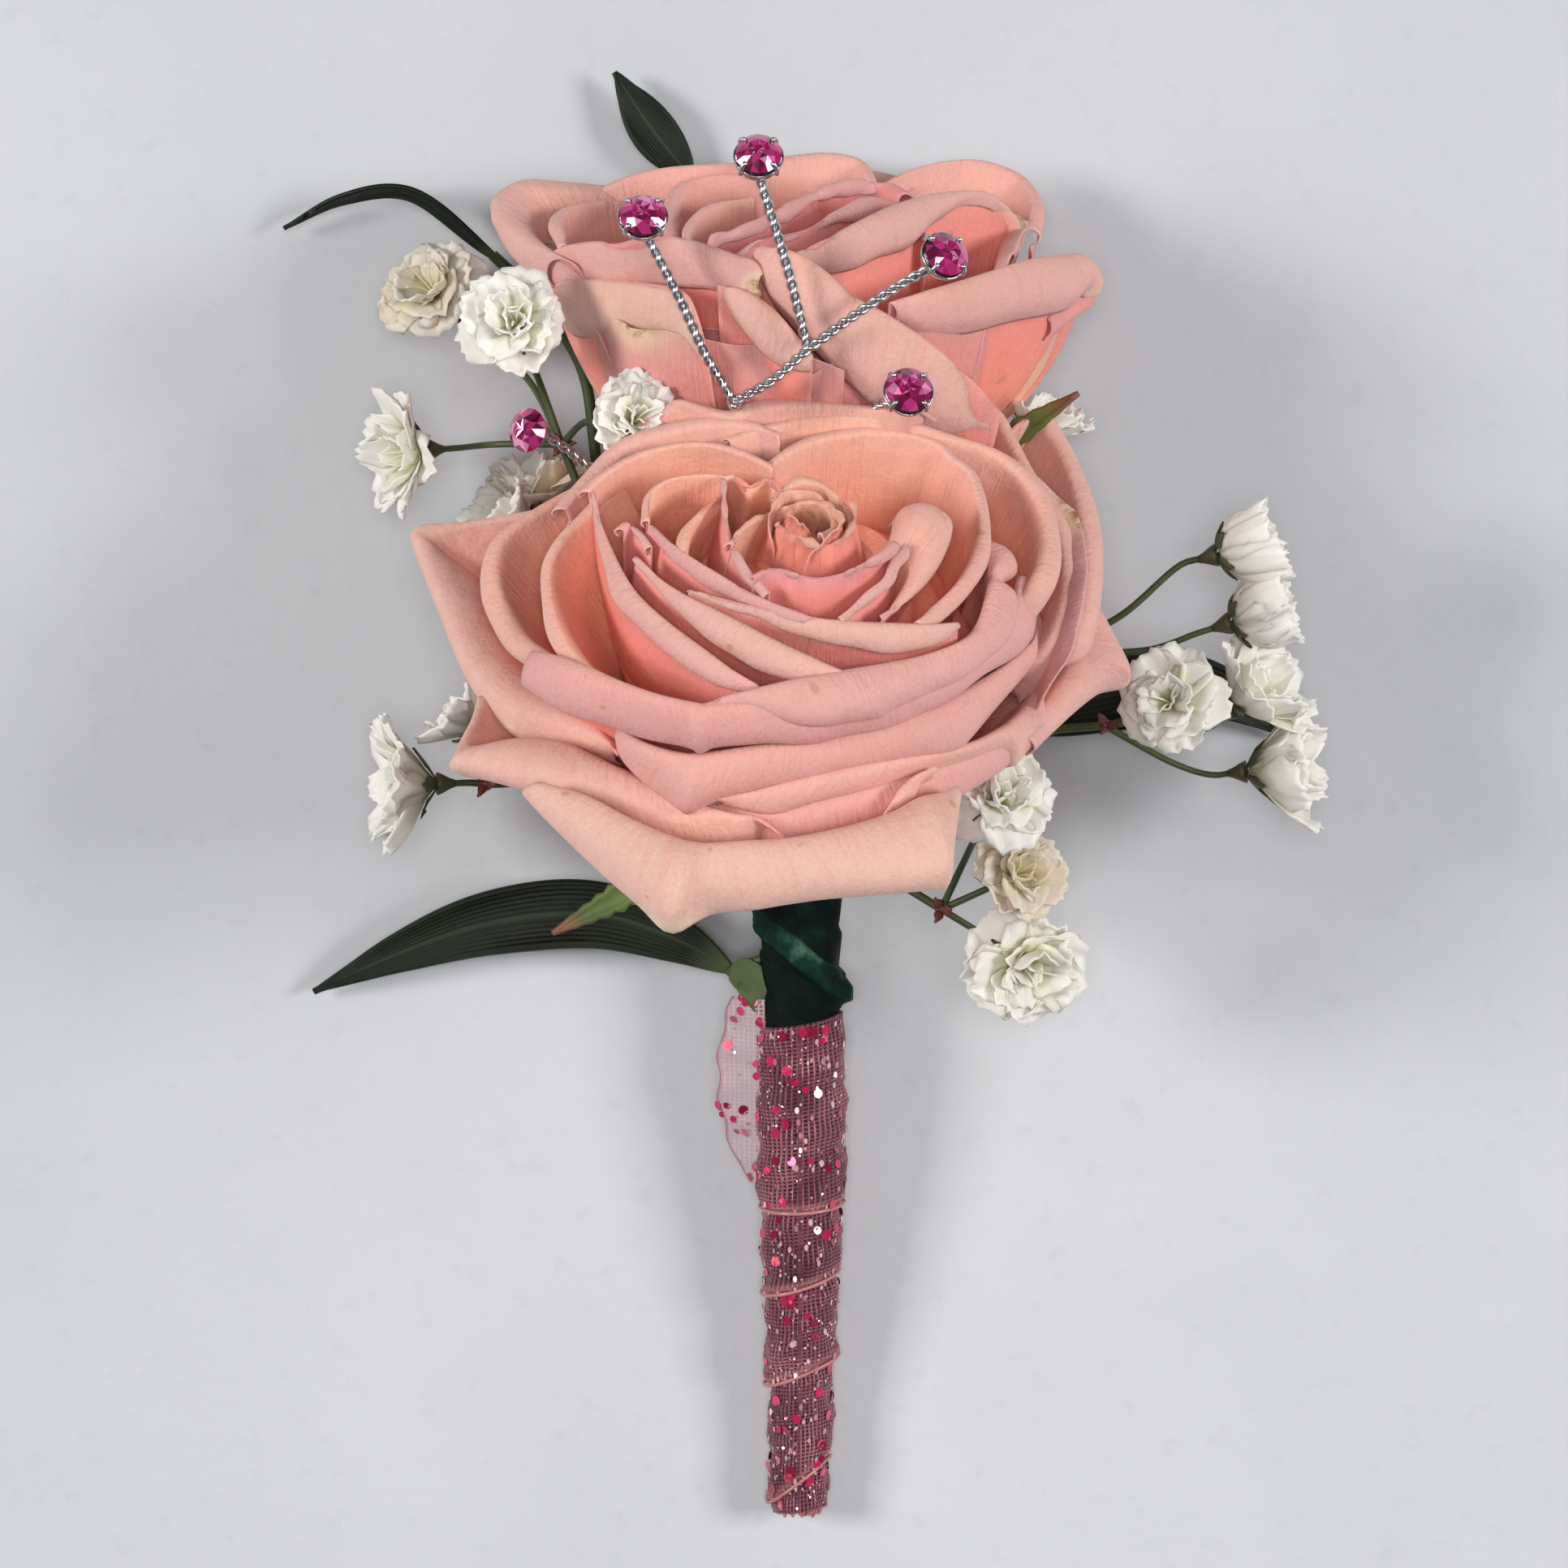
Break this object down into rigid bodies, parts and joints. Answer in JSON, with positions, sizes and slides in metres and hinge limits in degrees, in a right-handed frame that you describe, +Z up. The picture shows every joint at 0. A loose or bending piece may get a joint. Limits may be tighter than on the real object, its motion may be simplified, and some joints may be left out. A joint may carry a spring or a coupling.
{
  "type": "boutonniere",
  "caption": "Rose boutonniere lying flat: spray roses with baby's breath, ruscus leaves and a jewel pick, bound with floral tape and wrapped in glitter ribbon.",
  "frame": {"origin": "centre of the bounding box, on the surface that the boutonniere lies on", "axes": "+Y from the wrapped stems towards the rear rose, +Z up from the surface, +X to the right of someone who looks down on it"},
  "size_m": [0.088, 0.1242, 0.0484],
  "materials": {
    "rose_petal": "soft satin petal, peach pink with paler rolled edges",
    "rose_green": "fresh green stem and sepal, satin",
    "gyp_flower": "matte white petal",
    "gyp_stem": "thin olive green stem, satin",
    "ruscus": "very dark green leaf with parallel veins, satin",
    "wire": "bright twisted silver wire and cups",
    "rhinestone": "faceted magenta glass, polished",
    "tape": "dark green waxed crepe tape, low sheen",
    "ribbon": "dusty pink mesh ribbon with crimson sequins and glitter"
  },
  "bodies": {
    "root": {"rose_front_bloom": "rose_petal", "rose_rear_bloom": "rose_petal", "rose_front_calyx_stem": "rose_green", "rose_rear_calyx_stem": "rose_green", "gyp_upper_left_stems": "gyp_stem", "gyp_upper_left_flower_1": "gyp_flower", "gyp_upper_left_flower_2": "gyp_flower", "gyp_upper_left_flower_3": "gyp_flower", "gyp_upper_left_flower_4": "gyp_flower", "gyp_upper_left_flower_5": "gyp_flower", "gyp_upper_left_flower_6": "gyp_flower", "gyp_lower_left_stems": "gyp_stem", "gyp_lower_left_flower_1": "gyp_flower", "gyp_lower_left_flower_2": "gyp_flower", "gyp_upper_right_stems": "gyp_stem", "gyp_upper_right_flower_1": "gyp_flower", "gyp_upper_right_flower_2": "gyp_flower", "gyp_upper_right_flower_3": "gyp_flower", "gyp_lower_right_stems": "gyp_stem", "gyp_lower_right_flower_1": "gyp_flower", "gyp_lower_right_flower_2": "gyp_flower", "gyp_lower_right_flower_3": "gyp_flower", "gyp_lowest_stems": "gyp_stem", "gyp_lowest_flower_1": "gyp_flower", "gyp_lowest_flower_2": "gyp_flower", "gyp_lowest_flower_3": "gyp_flower", "ruscus_leaf_top": "ruscus", "ruscus_leaf_left": "ruscus", "ruscus_leaf_right": "ruscus", "ruscus_leaf_lower": "ruscus", "jewel_wires": "wire", "jewel_stone_1": "rhinestone", "jewel_stone_2": "rhinestone", "jewel_stone_3": "rhinestone", "jewel_stone_4": "rhinestone", "jewel_stone_5": "rhinestone", "floral_tape": "tape", "glitter_ribbon": "ribbon"}
  },
  "joints": []
}
